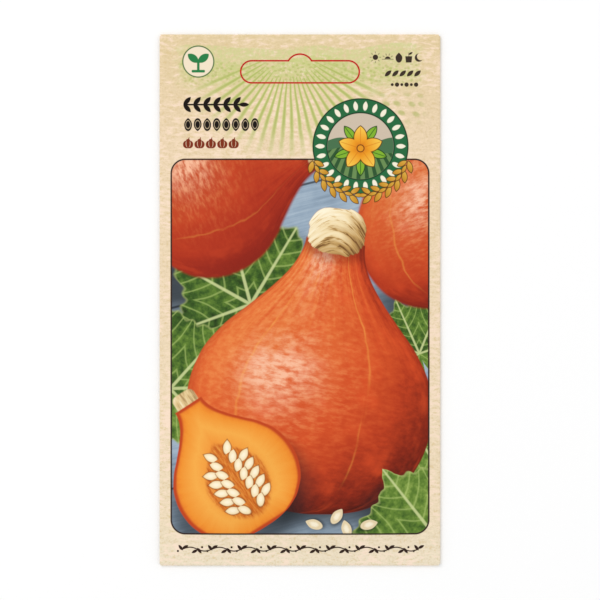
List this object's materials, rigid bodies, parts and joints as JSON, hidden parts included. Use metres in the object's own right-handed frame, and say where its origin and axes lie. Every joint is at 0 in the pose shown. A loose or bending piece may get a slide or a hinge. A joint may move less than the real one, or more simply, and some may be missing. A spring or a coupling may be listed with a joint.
{
  "type": "paper seed packet",
  "caption": "Flat paper seed packet with a lapped back seam, folded ends and a perforated hang slot, holding loose squash seeds.",
  "frame": {"origin": "middle of the packet's outline, on the surface that its back lies on", "axes": "+Z out of the printed front panel, +Y towards the packet's top with the hang slot, +X to the right of the front as it is read"},
  "size_m": [0.08, 0.1516, 0.0046],
  "materials": {
    "printed_paper": "uncoated paper, printed in full colour, faintly satin where the ink lies",
    "seed_husk": "dry matte seed husk"
  },
  "bodies": {
    "root": {"envelope": "printed_paper", "seed_01": "seed_husk", "seed_02": "seed_husk", "seed_03": "seed_husk", "seed_04": "seed_husk", "seed_05": "seed_husk", "seed_06": "seed_husk", "seed_07": "seed_husk", "seed_08": "seed_husk", "seed_09": "seed_husk", "seed_10": "seed_husk"}
  },
  "joints": []
}
